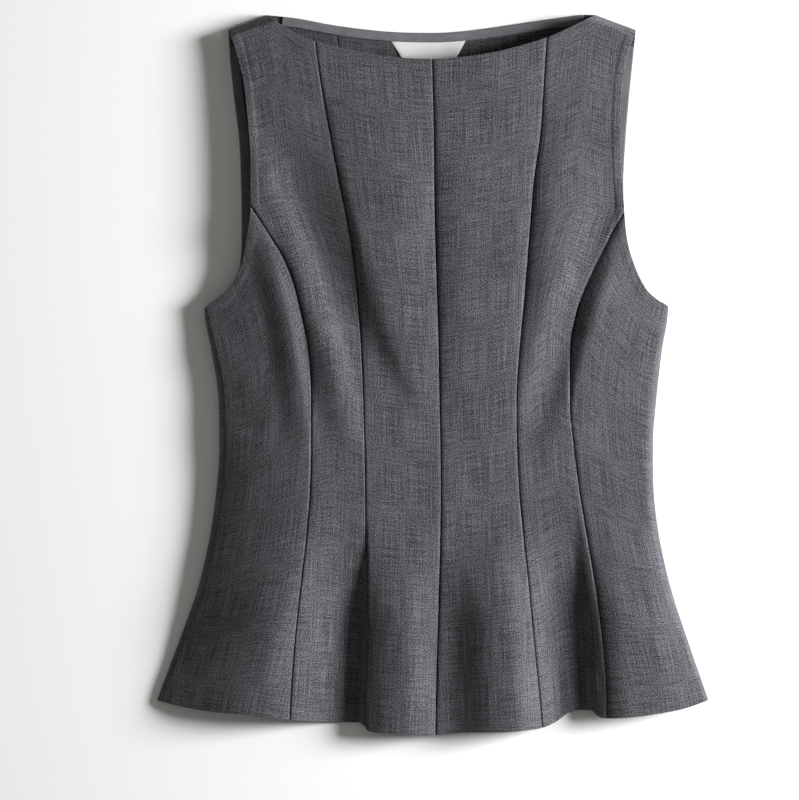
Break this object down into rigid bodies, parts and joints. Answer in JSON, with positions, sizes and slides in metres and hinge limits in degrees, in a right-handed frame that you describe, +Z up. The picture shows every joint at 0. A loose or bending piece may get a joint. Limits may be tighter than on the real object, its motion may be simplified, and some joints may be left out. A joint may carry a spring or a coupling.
{
  "type": "peplum top",
  "caption": "Sleeveless boat-neck peplum top in dark grey suiting, laid flat on its back, with curved panel seams and a flared, softly folded skirt.",
  "frame": {"origin": "on the surface the top lies on, under the middle of its outline", "axes": "+X towards the right of the picture, +Y from the hem to the shoulders, +Z up off the surface through the front"},
  "size_m": [0.46, 0.6008, 0.029],
  "materials": {
    "suiting": "matte melange plain weave",
    "tape": "smooth matte tape",
    "label": "white satin, blank"
  },
  "bodies": {
    "root": {"front_centre_left": "suiting", "front_centre_right": "suiting", "front_princess_left": "suiting", "front_princess_right": "suiting", "front_side_left": "suiting", "front_side_right": "suiting", "back_centre": "suiting", "back_side_left": "suiting", "back_side_right": "suiting", "neck_facing_back": "tape", "armhole_facing_left": "tape", "armhole_facing_right": "tape", "neck_label": "label"}
  },
  "joints": []
}
